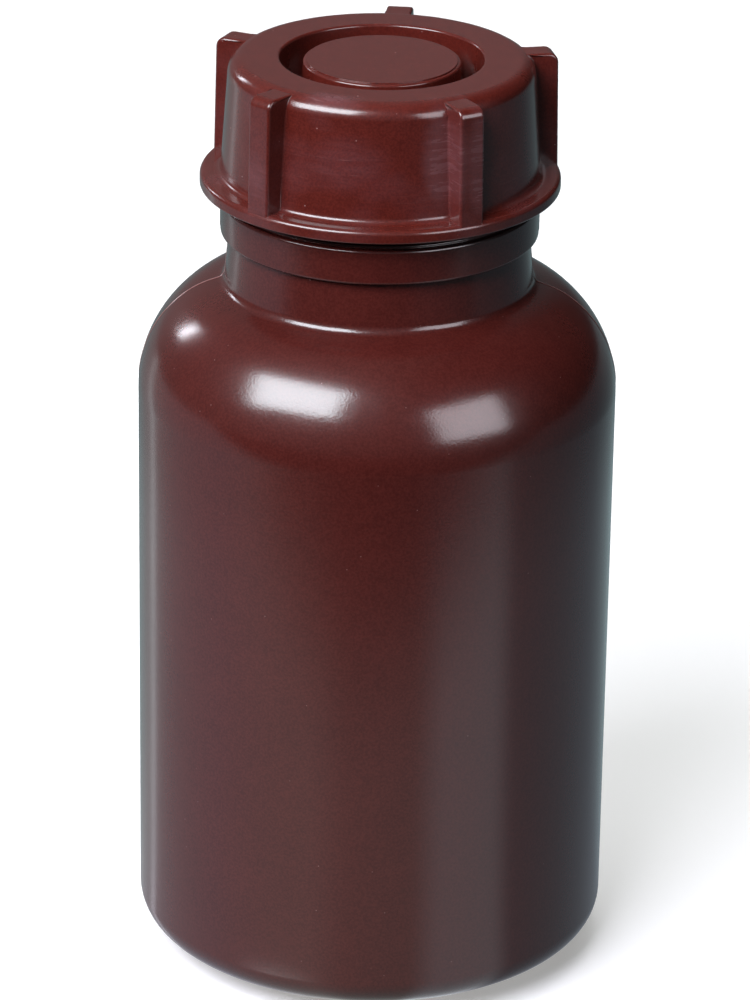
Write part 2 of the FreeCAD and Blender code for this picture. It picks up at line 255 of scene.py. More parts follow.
def blowMouldedHdpe():
    # blow-moulded HDPE: opaque red brown with a satin skin, faintly cloudy, with a painted highlight as a
    # pale line along the ridge where the mould's halves met, and a few dust specks
    look = {
        "colour": "#521f19",
        "deepColour": "#330a07",
        "cloudSize": 13.0,           # mm
        "cloudShare": 0.35,          # of the deep colour
        "mottleSize": 2.4,           # mm
        "mottleShare": 0.25,
        "grainSize": 0.4,            # mm, coarser than the real grain so that it shows
        "grainShare": 0.4,
        "grainDepth": 0.026,         # mm
        "waveSize": 22.0,            # mm, the wall's slow ripple
        "waveDepth": 0.05,           # mm
        "roughness": 0.175,
        "roughnessSpread": 0.025,
        "streakSizes": (2.6, 2.6, 70.0),     # mm, drawn down the parison
        # the pale colour of the parting ridge's painted highlight
        "partingHighlightColour": "#a3827d",
        "lineStrength": 0.55,
        "lineCore": 0.078,           # mm each side, where it is strongest
        "lineEdge": 0.208,           # mm each side, where it has faded out
        "outsideMost": 8,            # mm by which the outside faces the axis at most
        "insideLeast": 15,           # mm by which the inside does at least
        "speckColour": "#8d6a66",
        "speckStrength": 0.5,
        "speckSpacing": 2.2,         # mm
        "speckSize": 0.14,           # mm
        "speckShare": 0.25,
    }
    material = newMaterial("blowMouldedHdpe")
    tree = material.node_tree
    place = addNode(tree, "ShaderNodeTexCoord").outputs["Object"]
    cloud = addNode(tree, "ShaderNodeTexNoise", {
        "Vector": place, "Scale": 1 / (look["cloudSize"] * mm), "Detail": 3.0})
    mottle = addNode(tree, "ShaderNodeTexNoise", {
        "Vector": place, "Scale": 1 / (look["mottleSize"] * mm), "Detail": 2.0})
    grain = addNode(tree, "ShaderNodeTexNoise", {
        "Vector": place, "Scale": 1 / (look["grainSize"] * mm), "Detail": 2.0, "Roughness": 0.6})

    uneven = addNode(tree, "ShaderNodeMath", {0: cloud, 1: look["cloudShare"]}, operation="MULTIPLY")
    uneven = addNode(tree, "ShaderNodeMath", {
        0: mottle, 1: look["mottleShare"], 2: uneven}, operation="MULTIPLY_ADD")
    uneven = addNode(tree, "ShaderNodeMath", {
        0: grainTone(tree, grain), 1: look["grainShare"], 2: uneven}, operation="MULTIPLY_ADD")
    colour = addNode(tree, "ShaderNodeMix", {
        "Factor": uneven, "A": linear(look["colour"]), "B": linear(look["deepColour"])}, data_type="RGBA")
    colour = addNode(tree, "ShaderNodeMix", {
        "Factor": specks(tree, place, look), "A": colour, "B": linear(look["speckColour"])}, data_type="RGBA")
    # a painted highlight: the parting ridge's pale line
    line = partingHighlight(tree, place, look)
    colour = addNode(tree, "ShaderNodeMix", {
        "Factor": line, "A": colour, "B": linear(look["partingHighlightColour"])}, data_type="RGBA")

    drawn = addNode(tree, "ShaderNodeMapping", {
        "Vector": place, "Scale": [1 / (size * mm) for size in look["streakSizes"]]})
    streaks = addNode(tree, "ShaderNodeTexNoise", {"Vector": drawn, "Scale": 1.0, "Detail": 2.0})
    # the two noises together run from about 0.6 to 1.4
    patchy = addNode(tree, "ShaderNodeMath", {0: streaks, 1: cloud}, operation="ADD")
    polish = addNode(tree, "ShaderNodeMapRange", {
        "Value": patchy, "From Min": 0.6, "From Max": 1.4,
        "To Min": look["roughness"] - look["roughnessSpread"],
        "To Max": look["roughness"] + look["roughnessSpread"]})

    waves = addNode(tree, "ShaderNodeTexNoise", {
        "Vector": place, "Scale": 1 / (look["waveSize"] * mm), "Detail": 1.0})
    normal = addNode(tree, "ShaderNodeBump", {
        "Height": waves, "Distance": look["waveDepth"] * mm, "Strength": 1.0})
    normal = addNode(tree, "ShaderNodeBump", {
        "Height": grain, "Distance": look["grainDepth"] * mm, "Strength": hdpe["grainStrength"],
        "Normal": normal})
    hdpeSurface(tree, colour, polish, normal)
    return material


def rubbedAndSheenPlaces(tree, look, place, wayRound, outwards, height):
    # how much the cap's outside is rubbed, where its pale tint is partly wear and partly painted sheen: a
    # little in patches all round, and more in the listed places
    patches = addNode(tree, "ShaderNodeTexNoise", {
        "Vector": place, "Scale": 1 / (look["patchSize"] * mm), "Detail": 1.0})
    patches = addNode(tree, "ShaderNodeMapRange", {
        "Value": patches, "From Min": look["patchFull"], "From Max": look["patchNone"], **falling}, **soft)
    onWall = addNode(tree, "ShaderNodeMapRange", {
        "Value": height, "From Min": look["wallFull"] * mm, "From Max": look["wallNone"] * mm,
        **falling}, **soft)
    onWall = addNode(tree, "ShaderNodeMath", {0: onWall, 1: look["patchStrength"]}, operation="MULTIPLY")
    rubbedAndSheen = addNode(tree, "ShaderNodeMath", {0: patches, 1: onWall}, operation="MULTIPLY")
    for way, up, halfLength, halfHeight, strength in look["rubbedAndSheen"]:
        aside = addNode(tree, "ShaderNodeMath", {0: wayRound, 1: way * mm}, operation="SUBTRACT")
        aside = addNode(tree, "ShaderNodeMath", {0: aside, 1: halfLength * mm}, operation="DIVIDE")
        above = addNode(tree, "ShaderNodeMath", {0: height, 1: up * mm}, operation="SUBTRACT")
        above = addNode(tree, "ShaderNodeMath", {0: above, 1: halfHeight * mm}, operation="DIVIDE")
        away = addNode(tree, "ShaderNodeMath", {0: above, 1: above}, operation="MULTIPLY")
        away = addNode(tree, "ShaderNodeMath", {0: aside, 1: aside, 2: away}, operation="MULTIPLY_ADD")
        away = addNode(tree, "ShaderNodeMath", {0: away}, operation="SQRT")
        near = addNode(tree, "ShaderNodeMapRange", {
            "Value": away, "From Min": look["rubbedCore"], "From Max": look["rubbedEdge"], **falling}, **soft)
        near = addNode(tree, "ShaderNodeMath", {0: near, 1: strength}, operation="MULTIPLY")
        rubbedAndSheen = addNode(tree, "ShaderNodeMath", {0: rubbedAndSheen, 1: near}, operation="MAXIMUM")
    onOutside = addNode(tree, "ShaderNodeMapRange", {
        "Value": outwards, "From Min": look["outsideFull"] * mm, "From Max": look["outsideNone"] * mm,
        **falling}, **soft)
    return addNode(tree, "ShaderNodeMath", {0: rubbedAndSheen, 1: onOutside}, operation="MULTIPLY")


def mouldedHdpe():
    # injection-moulded HDPE: the cap, redder and crisper than the bottle, and handled more: pale smears
    # that run round it, partly rubbed wear and partly painted sheen, fine scratches, and dust specks
    look = {
        "colour": "#5a1f17",
        "deepColour": "#3e0f0a",
        "mottleSize": 2.0,           # mm
        "mottleShare": 0.5,          # of the deep colour
        "grainSize": 0.35,           # mm, coarser than the real grain so that it shows
        "grainShare": 0.5,
        "grainDepth": 0.015,         # mm
        "discGrainDepth": 0.035,     # mm, as the disc has a matter, spark-eroded face
        "discRadius": 12.0,          # mm
        "discHeight": 153.5,         # mm
        "discSoftness": 0.1,         # mm
        "roughness": 0.18,
        "scuffedRoughness": 0.34,
        "speckColour": "#9a7a76",
        "speckStrength": 0.7,
        "speckSpacing": 2.0,         # mm
        "speckSize": 0.15,           # mm
        "speckShare": 0.2,
        "wallRadius": 25.5,          # mm, at which distances round the wall are measured
        # pale tint of the smears: partly rubbed wear, partly painted sheen
        "scuffAndSheenColour": "#8a646a",
        "scuffStrength": 0.3,
        "smearSizes": (7.0, 6.0, 0.9),       # mm round the wall, outwards and up
        "smearFull": 0.72,           # the noise at which a smear is at its strongest
        "smearNone": 0.36,           # and at which it has gone
        "smearShare": 0.55,          # of the scuffing, the rest being even
        "scratchColour": "#a98583",
        "scratchStrength": 0.22,
        "scratchSizes": (9.0, 4.0, 0.22),    # mm round the wall, outwards and up
        "scratchFull": 0.76,         # high up in the noise, so that they stay few and fine
        "scratchNone": 0.68,
        "patchSize": 9.0,            # mm
        "patchFull": 0.68,           # the noise, as for the smears
        "patchNone": 0.45,
        "patchStrength": 0.25,
        "wallFull": 152.0,           # mm, up to where the patches are at their strongest
        "wallNone": 153.5,           # mm, from where on there are none
        "outsideFull": 21.5,         # mm from the axis, the same for all the wear
        "outsideNone": 19.5,
        # places rubbed most, whose pale tint is partly a painted sheen: way round from the viewer's side (mm
        # along the wall, plus to the right), height, half length, half height and strength
        "rubbedAndSheen": [(-5.5, 144.5, 8.0, 5.0, 0.38), (10.0, 145.0, 3.8, 9.5, 0.85),
                   (14.5, 145.0, 2.6, 9.5, 0.9), (-19.5, 141.0, 3.0, 5.0, 0.6),
                   (-8.5, 153.8, 6.0, 1.0, 0.8)],
        "rubbedCore": 0.35,          # shares of their half sizes, where they start to fade
        "rubbedEdge": 1.15,          # and where they end
    }
    material = newMaterial("mouldedHdpe")
    tree = material.node_tree
    place = addNode(tree, "ShaderNodeTexCoord").outputs["Object"]
    apart = addNode(tree, "ShaderNodeSeparateXYZ", {"Vector": place})
    height = apart.outputs["Z"]
    # the wall unrolled: distance round it, distance from the axis, height
    nearer = addNode(tree, "ShaderNodeMath", {0: apart.outputs["Y"], 1: -1.0}, operation="MULTIPLY")
    wayRound = addNode(tree, "ShaderNodeMath", {0: apart.outputs["X"], 1: nearer}, operation="ARCTAN2")
    wayRound = addNode(tree, "ShaderNodeMath", {
        0: wayRound, 1: look["wallRadius"] * mm}, operation="MULTIPLY")
    flat = addNode(tree, "ShaderNodeCombineXYZ", {"X": apart.outputs["X"], "Y": apart.outputs["Y"]})
    outwards = addNode(tree, "ShaderNodeVectorMath", {0: flat}, operation="LENGTH")
    unrolled = addNode(tree, "ShaderNodeCombineXYZ", {"X": wayRound, "Y": outwards, "Z": height})

    grain = addNode(tree, "ShaderNodeTexNoise", {
        "Vector": place, "Scale": 1 / (look["grainSize"] * mm), "Detail": 2.0})
    mottle = addNode(tree, "ShaderNodeTexNoise", {
        "Vector": place, "Scale": 1 / (look["mottleSize"] * mm), "Detail": 3.0})
    uneven = addNode(tree, "ShaderNodeMath", {0: mottle, 1: look["mottleShare"]}, operation="MULTIPLY")
    uneven = addNode(tree, "ShaderNodeMath", {
        0: grainTone(tree, grain), 1: look["grainShare"], 2: uneven}, operation="MULTIPLY_ADD")
    colour = addNode(tree, "ShaderNodeMix", {
        "Factor": uneven, "A": linear(look["colour"]), "B": linear(look["deepColour"])}, data_type="RGBA")
    colour = addNode(tree, "ShaderNodeMix", {
        "Factor": specks(tree, place, look), "A": colour, "B": linear(look["speckColour"])}, data_type="RGBA")

    rubbedAndSheen = rubbedAndSheenPlaces(tree, look, place, wayRound, outwards, height)
    drawn = addNode(tree, "ShaderNodeMapping", {
        "Vector": unrolled, "Scale": [1 / (size * mm) for size in look["smearSizes"]]})
    smears = addNode(tree, "ShaderNodeTexNoise", {
        "Vector": drawn, "Scale": 1.0, "Detail": 4.0, "Roughness": 0.7, "Distortion": 0.3})
    smears = addNode(tree, "ShaderNodeMapRange", {
        "Value": smears, "From Min": look["smearFull"], "From Max": look["smearNone"], **falling}, **soft)
    scuffAndSheen = addNode(tree, "ShaderNodeMath", {
        0: smears, 1: look["smearShare"], 2: 1 - look["smearShare"]}, operation="MULTIPLY_ADD")
    scuffAndSheen = addNode(tree, "ShaderNodeMath", {0: scuffAndSheen, 1: rubbedAndSheen}, operation="MULTIPLY")
    # the pale tint: partly rubbed wear, partly a painted sheen on the front of the wall and the ribs
    scuffAndSheenTint = addNode(tree, "ShaderNodeMath", {0: scuffAndSheen, 1: look["scuffStrength"]}, operation="MULTIPLY")
    colour = addNode(tree, "ShaderNodeMix", {
        "Factor": scuffAndSheenTint, "A": colour, "B": linear(look["scuffAndSheenColour"])}, data_type="RGBA")

    drawn = addNode(tree, "ShaderNodeMapping", {
        "Vector": unrolled, "Scale": [1 / (size * mm) for size in look["scratchSizes"]]})
    scratches = addNode(tree, "ShaderNodeTexNoise", {
        "Vector": drawn, "Scale": 1.0, "Detail": 1.0, "Distortion": 0.4})
    scratches = addNode(tree, "ShaderNodeMapRange", {
        "Value": scratches, "From Min": look["scratchFull"], "From Max": look["scratchNone"],
        **falling}, **soft)
    scratches = addNode(tree, "ShaderNodeMath", {0: scratches, 1: rubbedAndSheen}, operation="MULTIPLY")
    scratchTint = addNode(tree, "ShaderNodeMath", {
        0: scratches, 1: look["scratchStrength"]}, operation="MULTIPLY")
    colour = addNode(tree, "ShaderNodeMix", {
        "Factor": scratchTint, "A": colour, "B": linear(look["scratchColour"])}, data_type="RGBA")

    polish = addNode(tree, "ShaderNodeMix", {
        "Factor": scuffAndSheen, "A": look["roughness"], "B": look["scuffedRoughness"]})
    normal = addNode(tree, "ShaderNodeBump", {
        "Height": grain, "Distance": look["grainDepth"] * mm, "Strength": hdpe["grainStrength"]})
    # a second, stronger relief on the disc alone
    fade = look["discSoftness"]
    withinDisc = addNode(tree, "ShaderNodeMapRange", {
        "Value": outwards, "From Min": (look["discRadius"] - fade) * mm,
        "From Max": (look["discRadius"] + fade) * mm, **falling}, **soft)
    atDisc = addNode(tree, "ShaderNodeMapRange", {
        "Value": height, "From Min": (look["discHeight"] + fade) * mm,
        "From Max": (look["discHeight"] - fade) * mm, **falling}, **soft)
    onDisc = addNode(tree, "ShaderNodeMath", {0: withinDisc, 1: atDisc}, operation="MULTIPLY")
    onDisc = addNode(tree, "ShaderNodeMath", {0: onDisc, 1: hdpe["grainStrength"]}, operation="MULTIPLY")
    normal = addNode(tree, "ShaderNodeBump", {
        "Height": grain, "Distance": look["discGrainDepth"] * mm, "Strength": onDisc, "Normal": normal})
    hdpeSurface(tree, colour, polish, normal)
    return material


bottlePlastic = blowMouldedHdpe()
capPlastic = mouldedHdpe()
print("materials made")


# bottle

# mm, with heights from what the bottle stands on
bottle = {
    "radius": 39.0,
    "innerRadius": 37.8,
    "domeRadius": 98.681,        # the pushed-up base
    "domeTop": 3.0,
    "footTop": 7.793,            # where the rounded foot meets the side
    "sideTop": 97.9,
    "shoulderRise": 18.5,
    "innerRise": 17.3,
    "shoulderEase": 1.028,       # its lower bend's radius, times that of one bend all the way
    "shoulderBreak": 0.68,       # the share of the whole turn that the lower bend takes
    "neckFoot": 25.05,
    "innerNeckFoot": 23.25,
    "collarRadius": 25.7,
    "collarFoot": 124.9,
    "collarTop": 130.7,
    "shelfTop": 131.2,           # the small step on the collar
    "plainTop": 133.6,           # the plain cylinder below the thread
    "finishRadius": 21.6,
    "mouthRadius": 19.0,
    "rimMiddle": 20.3,
    "rimTop": 152.0,
    "partingWidth": 0.30,        # each side of the line where the mould's halves met
    "partingHeight": 0.09,
    "partingInside": 20.8,       # the line ends before the rim, at this radius
    "partingTop": 151.4,         # or this height
    "partingColumns": (-1.7, -1, -0.7, -0.45, -0.2, 0, 0.2, 0.45, 0.7, 1, 1.7),      # in line widths
    "partingClear": 2.2,         # line widths without any other column
    "columns": 180,
}


def shoulder(start, foot, rise):
    # the two bends from the side's top to just before the neck, the lower one eased by a little
    run = start - foot
    lower = bottle["shoulderEase"] * (run ** 2 + rise ** 2) / (2 * run)
    turn = bottle["shoulderBreak"] * 2 * math.atan(run / rise)
    breakOut, breakUp = start - lower * (1 - math.cos(turn)), lower * math.sin(turn)
    leftOut, leftUp = breakOut - foot, rise - breakUp
    upper = (leftOut ** 2 + leftUp ** 2) / (2 * (leftOut * math.cos(turn) - leftUp * math.sin(turn)))
    return [(start, bottle["sideTop"], 0, lower), (breakOut, bottle["sideTop"] + breakUp, 0, upper)]


def shoulderBack(start, foot, rise):
    # the same two bends from the neck down
    low, high = shoulder(start, foot, rise)
    return [(foot, bottle["sideTop"] + rise, 1.0, -high[3]), (high[0], high[1], 0, -low[3]), low[:2]]


bottleOutside = [
    # from the middle of the base to the middle of the rim: out, up, rounding, bend
    (0.0, bottle["domeTop"], 0, -bottle["domeRadius"]),
    (24.147, 0.0, 0.3),
    (25.747, 0.0, 0, 19.0),
    (36.834, 3.570, 0, 5.2),
    (bottle["radius"], bottle["footTop"]),
    *shoulder(bottle["radius"], bottle["neckFoot"], bottle["shoulderRise"]),
    (bottle["neckFoot"], bottle["sideTop"] + bottle["shoulderRise"], 1.8),
    (24.25, bottle["collarFoot"], 0.3),
    (bottle["collarRadius"], bottle["collarFoot"], 0.5),
    (bottle["collarRadius"], bottle["collarTop"], 0.5),
    (24.75, bottle["collarTop"], 0.15),
    (24.75, bottle["shelfTop"], 0.25),
    (22.9, bottle["shelfTop"], 0.4),
    (22.9, bottle["plainTop"], 0.35),
    (bottle["finishRadius"], bottle["plainTop"], 0.4),
    (bottle["finishRadius"], bottle["rimTop"], 0.5),
    (bottle["rimMiddle"], bottle["rimTop"]),
]
bottleInside = [
    # and on from there to the middle of the inside's floor
    (bottle["rimMiddle"], bottle["rimTop"]),
    (bottle["mouthRadius"], bottle["rimTop"], 0.5),
    (bottle["mouthRadius"], 131.7, 1.0),
    (22.45, bottle["collarFoot"], 2.0),
    *shoulderBack(bottle["innerRadius"], bottle["innerNeckFoot"], bottle["innerRise"]),
    (bottle["innerRadius"], bottle["footTop"], 0, -4.0),
    (36.134, 4.545, 0, -17.8),
    (25.747, 1.2),
    (24.147, 1.2, 0, 80.645),
    (0.0, 4.9),
]

weld = {
    "halfLength": 19.65,
    "halfWidth": 0.7,
    "height": 0.6,
    "endRound": 0.5,
    "edgeShare": 0.3,            # of the half width, which is rounded
    "sunk": 0.03,                # how deep its edges lie in the base
    "alongSteps": 60,
    "acrossSteps": 12,
}
nib = {
    "place": (-28.6, 0.0, 114.9),        # on the parting line, high on the shoulder
    "radius": 0.26,
    "upSteps": 8,
    "roundSteps": 12,
}


def besideParting(angle):
    # the smallest angle to the mould's closing plane, which runs along X
    return abs((angle + math.pi / 2) % math.pi - math.pi / 2)


def partingLift(angle, place):
    # the ridge dies out where the bottle is widest, as it would stand out of the part's size there
    if place.x < bottle["partingInside"] or place.y > bottle["partingTop"]:
        return 0
    across = besideParting(angle) * place.x / bottle["partingWidth"]
    room = min(bottle["radius"] - place.x, place.y, bottle["partingHeight"])
    return max(room, 0) * (1 - smooth(across))


def weldGrid():
    # the pinch-off weld: a low ridge along X under the pushed-up base, its edges and ends rounded off
    rows = []
    for i in range(weld["alongSteps"] + 1):
        along = weld["halfLength"] * (2 * i / weld["alongSteps"] - 1)
        past = max((abs(along) - weld["halfLength"] + weld["endRound"]) / weld["endRound"], 0)
        ended = math.sqrt(max(1 - past ** 2, 0))
        row = []
        for j in range(weld["acrossSteps"] + 1):
            t = 2 * j / weld["acrossSteps"] - 1
            across = t * weld["halfWidth"]
            depth = weld["height"] * min(1, (1 - abs(t)) / weld["edgeShare"]) ** 0.5 * ended
            radius = bottle["domeRadius"] - depth + weld["sunk"]
            out = math.hypot(along, across)
            row.append((along, across,
                        bottle["domeTop"] - bottle["domeRadius"] + math.sqrt(radius ** 2 - out ** 2)))
        rows.append(row)
    return sheetGrid(rows)


def nibGrid():
    # a blunt speck of flash, half buried in the shoulder
    x, y, z = nib["place"]
    angles = [2 * math.pi * k / nib["roundSteps"] for k in range(nib["roundSteps"] + 1)]
    rows = []
    for i in range(nib["upSteps"] + 1):
        up = math.pi * (i / nib["upSteps"] - 0.5)
        out, rise = nib["radius"] * math.cos(up), nib["radius"] * math.sin(up)
        rows.append([(x + out * math.cos(a), y + out * math.sin(a), z + rise) for a in angles])
    return sheetGrid(rows)


halfLine = bottle["partingWidth"] / bottle["radius"]
bottleAngles = [2 * math.pi * k / bottle["columns"] for k in range(bottle["columns"])]
bottleAngles = [a for a in bottleAngles if besideParting(a) > halfLine * bottle["partingClear"]]
for plane in (0, math.pi):
    bottleAngles += [(plane + halfLine * step) % (2 * math.pi) for step in bottle["partingColumns"]]
bottleAngles.sort()
bottleGrids = [turnedGrid(outline(bottleOutside), bottleAngles, partingLift),
               turnedGrid(outline(bottleInside), bottleAngles), weldGrid(), nibGrid()]
makePiece("bottleBody", bottleGrids, bottlePlastic, "bottle", "bottle")
print("bottle made:", sum(len(faces) for _, faces in bottleGrids), "faces")


# cap

# mm, with heights from the cap's foot
cap = {
    "foot": 133.0,               # where its foot is when it is closed
    "turn": math.radians(12),    # how far the first rib is from the X axis
    "flangeRadius": 29.05,
    "flangeTop": 2.15,
    "wallFoot": (25.75, 2.15),
    "wallTop": (24.5, 21.2),
    "edge": 2.7,
    "innerRadius": 23.1,
    "discRadius": 12.1,
    "columns": 160,
}
capSection = [
    # from the middle of the top over the outside and the inside to the middle below: out, up, rounding
    (0.0, 20.8),
    (cap["discRadius"], 20.8, 0.06),
    (cap["discRadius"], 20.58, 0.06),
    (12.65, 20.58, 0.4),
    (12.95, 13.2, 0.8),
    (15.95, 13.2, 0.8),
    (16.35, 21.2, 0.45),
    (*cap["wallTop"], cap["edge"]),
    (*cap["wallFoot"], 1.0),
    (cap["flangeRadius"], cap["flangeTop"], 0.8),
    (cap["flangeRadius"], 0.0, 0.3),
    (23.4, 0.0, 0.2),
    (23.4, 2.1, 0.2),
    (cap["innerRadius"], 2.1, 0.2),
    (cap["innerRadius"], 19.2, 0.4),
    (18.75, 19.2, 0.4),
    (18.05, 11.6, 0.8),
    (11.25, 11.6, 0.3),
    (10.95, 19.0, 0.6),
    (0.0, 19.0),
]

rib = {
    "count": 5,
    "width": 4.3,
    "footReach": 28.85,
    "topReach": 28.47,
    "footHeight": 1.5,           # buried in the rounding of the flange's edge
    "topHeight": 20.9,
    "crown": 1.6,                # radius of the bend between its outer face and its top
    "edge": 0.42,                # radius of its long edges
    "rootFillet": 0.35,
    "rootReach": 1.5,            # how far from its root it bends with the round wall
    "sunk": 0.02,                # how deep its root lies in the wall
    "faceSteps": 10,
    "crownSteps": 8,
    "topSteps": 6,
    "edgeSteps": 5,
    "sideSteps": 3,
    "filletSteps": 6,
}


def wallOut(height):
    # the skirt's outside at that height, its rounded top edge included
    (topOut, topUp), (footOut, footUp) = cap["wallTop"], cap["wallFoot"]
    straight = footOut + (topOut - footOut) * (height - footUp) / (topUp - footUp)
    over = height - (topUp - cap["edge"])
    if over > 0:
        straight = min(straight, topOut - cap["edge"] + math.sqrt(max(cap["edge"] ** 2 - over ** 2, 0)))
    return straight


def ribRidge():
    # the middle of a rib's outer face and top, from the foot inwards: places, and the ways they face
    crownMiddle = Vector((rib["topReach"] - rib["crown"], rib["topHeight"] - rib["crown"]))
    foot, crownFoot = Vector((rib["footReach"], rib["footHeight"])), Vector((rib["topReach"], crownMiddle.y))
    faceSteps, crownSteps, topSteps = rib["faceSteps"], rib["crownSteps"], rib["topSteps"]
    ridge = [(foot.lerp(crownFoot, i / faceSteps), Vector((1, 0))) for i in range(faceSteps + 1)]
    for i in range(1, crownSteps + 1):
        a = math.radians(90 * i / crownSteps)
        way = Vector((math.cos(a), math.sin(a)))
        ridge.append((crownMiddle + way * rib["crown"], way))
    crownTop = Vector((crownMiddle.x, rib["topHeight"]))
    inner = Vector((wallOut(rib["topHeight"]), rib["topHeight"]))
    return ridge + [(crownTop.lerp(inner, i / topSteps), Vector((0, 1))) for i in range(1, topSteps + 1)]


def ribSide(spot, way):
    # from that place on the ridge over the long edge and down to the filleted root: places in the
    # rib's middle plane with how far beside it they are, and the root
    half, edge = rib["width"] / 2, rib["edge"]
    rootHeight = spot.y if way.y == 0 else rib["topHeight"] - rib["crown"] * (1 - way.y)
    root = Vector((wallOut(rootHeight), rootHeight))
    side = [(spot, across * (half - edge)) for across in (0, 0.5, 0.85)]
    for i in range(rib["edgeSteps"] + 1):
        a = math.radians(90 * i / rib["edgeSteps"])
        side.append((spot - way * edge * (1 - math.cos(a)), half - edge * (1 - math.sin(a))))
    below = spot - way * edge
    reach = (below - root).length
    fillet = min(rib["rootFillet"], reach * 0.9)
    for i in range(1, rib["sideSteps"] + 1):
        side.append((below.lerp(root, (1 - fillet / reach) * i / rib["sideSteps"]), half))
    for i in range(1, rib["filletSteps"] + 1):
        left = fillet * (1 - i / rib["filletSteps"])
        flare = fillet - math.sqrt(max(fillet ** 2 - (fillet - left) ** 2, 0))
        side.append((below.lerp(root, 1 - left / reach), half + flare))
    return side, root


def ribGrid(turn):
    # one grip rib as a sheet: over its outer face and top, and down both sides to its root
    rows = []
    for spot, way in ribRidge():
        side, root = ribSide(spot, way)
        row = []
        for sign in (-1, 1):
            for place, across in (reversed(side) if sign < 0 else side[1:]):
                nearRoot = smooth(1 - (place - root).length / rib["rootReach"])
                wallDrop = root.x - math.sqrt(root.x ** 2 - across ** 2)
                out = place.x - nearRoot * (wallDrop + rib["sunk"])
                row.append(Matrix.Rotation(turn, 3, "Z") @ Vector((out, sign * across, place.y)))
        rows.append(row)
    return sheetGrid(rows)


def lifted(grid, height):
    points, faces = grid
    return [(x, y, z + height) for x, y, z in points], faces


capAngles = [2 * math.pi * k / cap["columns"] for k in range(cap["columns"])]
capGrids = [turnedGrid(outline(capSection), capAngles)]
for k in range(rib["count"]):
    capGrids.append(ribGrid(cap["turn"] + 2 * math.pi * k / rib["count"]))
capGrids = [lifted(grid, cap["foot"]) for grid in capGrids]
makePiece("screwCap", capGrids, capPlastic, "cap", "screw_cap")
print("cap made:", sum(len(faces) for _, faces in capGrids), "faces")


# screw thread

thread = {
    "pitch": 5.5,                # mm, like the other lengths here
    "turns": 2.1,
    "width": 2.5,
    "height": 1.2,
    "flankShare": 0.62,          # of the half width, the rest being its rounded top
    "sunk": 0.03,                # how deep its edges lie in the wall
    "start": 137.4,              # height of the neck ridge's lower end
    "startAngle": math.radians(200),
    "runIn": math.radians(22),
    "stepsPerTurn": 120,
    "acrossSteps": 14,
}


def threadGrid(radius, outward, startHeight):
    # a rounded ridge wound right-handed, fading out at both ends
    rows = []
    steps = round(thread["turns"] * thread["stepsPerTurn"])
    whole = thread["turns"] * 2 * math.pi
    for i in range(steps + 1):
        wound = whole * i / steps
        angle = thread["startAngle"] + wound
        fade = smooth(wound / thread["runIn"]) * smooth((whole - wound) / thread["runIn"])
        height = startHeight + thread["pitch"] * wound / (2 * math.pi)
        row = []
        for j in range(thread["acrossSteps"] + 1):
            t = 2 * j / thread["acrossSteps"] - 1
            rise = smooth((1 - abs(t)) / thread["flankShare"]) * thread["height"] * fade
            out = radius + outward * (rise - thread["sunk"])
            row.append((out * math.cos(angle), out * math.sin(angle), height + t * thread["width"] / 2))
        rows.append(row)
    return sheetGrid(rows)


makePiece("neckThread", [threadGrid(bottle["finishRadius"], 1, thread["start"])],
          bottlePlastic, "bottle", None)
makePiece("capThread", [threadGrid(cap["innerRadius"], -1, thread["start"] + thread["pitch"] / 2)],
          capPlastic, "cap", None)
print("threads made")


# floor, light and camera

stage = {
    "floorSize": 6,              # m
    "floorDrop": 0.2,            # mm below the bottle
    "floorColour": "#dcdcda",
    "floorGlow": 0.45,           # the table is lit from below too, which leaves only a faint shadow
    "worldColour": "#e6edf2",
    "worldGlow": 0.11,           # a dim room, apart from the lamps
    "backWay": (0.0, 0.92, 0.39),
    "backGlow": 0.21,            # and a little brighter behind the bottle
    "backStart": 0.5,            # cosines from that way, between which it brightens
    "backFull": 0.9,
    "rightGlow": 0.12,           # the share of it on the right, the dark side of the room
    "rightFull": 0.55,           # how far to the right it is that dark
    "cardSize": 3,               # m
    "cardDrop": 0.1,             # mm
    # what the gloss sees of the table: degrees from the viewer's side, plus to the right, and how bright
    "cardGlow": [(-180, "#8fb6ba", 0.60), (-153, "#abc8cb", 0.68), (-133, "#d8e4e8", 0.70),
                 (-111, "#e8e8f4", 0.65), (-80, "#e6e6f6", 0.76), (-50, "#f0f0f4", 0.77),
                 (-30, "#f4f4f4", 0.77), (-13, "#f4f4f4", 0.54), (22, "#f4f4f4", 0.50),
                 (35, "#e8eef6", 1.08), (63, "#e8eef6", 1.03), (71, "#dfe5f2", 0.43),
                 (126, "#cbd8e6", 0.42), (154, "#b4cbd0", 0.80), (180, "#8fb6ba", 0.60)],
    "cardMiddle": (0, -22),      # mm, the point that those degrees turn about
    "cardFront": -255,           # mm, where the card has faded out in front of the bottle
    "cardFull": -120,            # mm, from where on it is at its full brightness
    "cardNear": 190,             # mm from the axis, up to where it is at its full brightness
    "cardFar": 340,              # mm, from where on it is as dim as it gets
    "farGlowLeft": 0.75,
    "farGlowRight": 0.45,
    "farLeft": 50,               # mm along X, between which the one turns into the other
    "farRight": 200,
    # a pale patch on the card in front on the left, which the rounded foot mirrors as a soft band
    "patchWay": -29,             # degrees from the viewer's side
    "patchSpread": 17,           # degrees to either side
    "patchOut": 51.5,            # mm from the axis
    "patchWidth": 4.5,           # mm to either side
    "patchGlow": 2.0,
    # a pale strip laid on the card behind on the left, which shows as a fine line up the bottle's side
    "stripFrom": (-31.6, -18.4), # mm, the point that it fans out from
    "stripWay": -137.2,          # degrees from the viewer's side
    "stripHalfWidth": 2.5,       # degrees
    "stripSoftness": 0.3,        # of the half width
    "stripGlow": 1.9,
    "lampAim": 0.09,             # m, the height that the lamps face
}


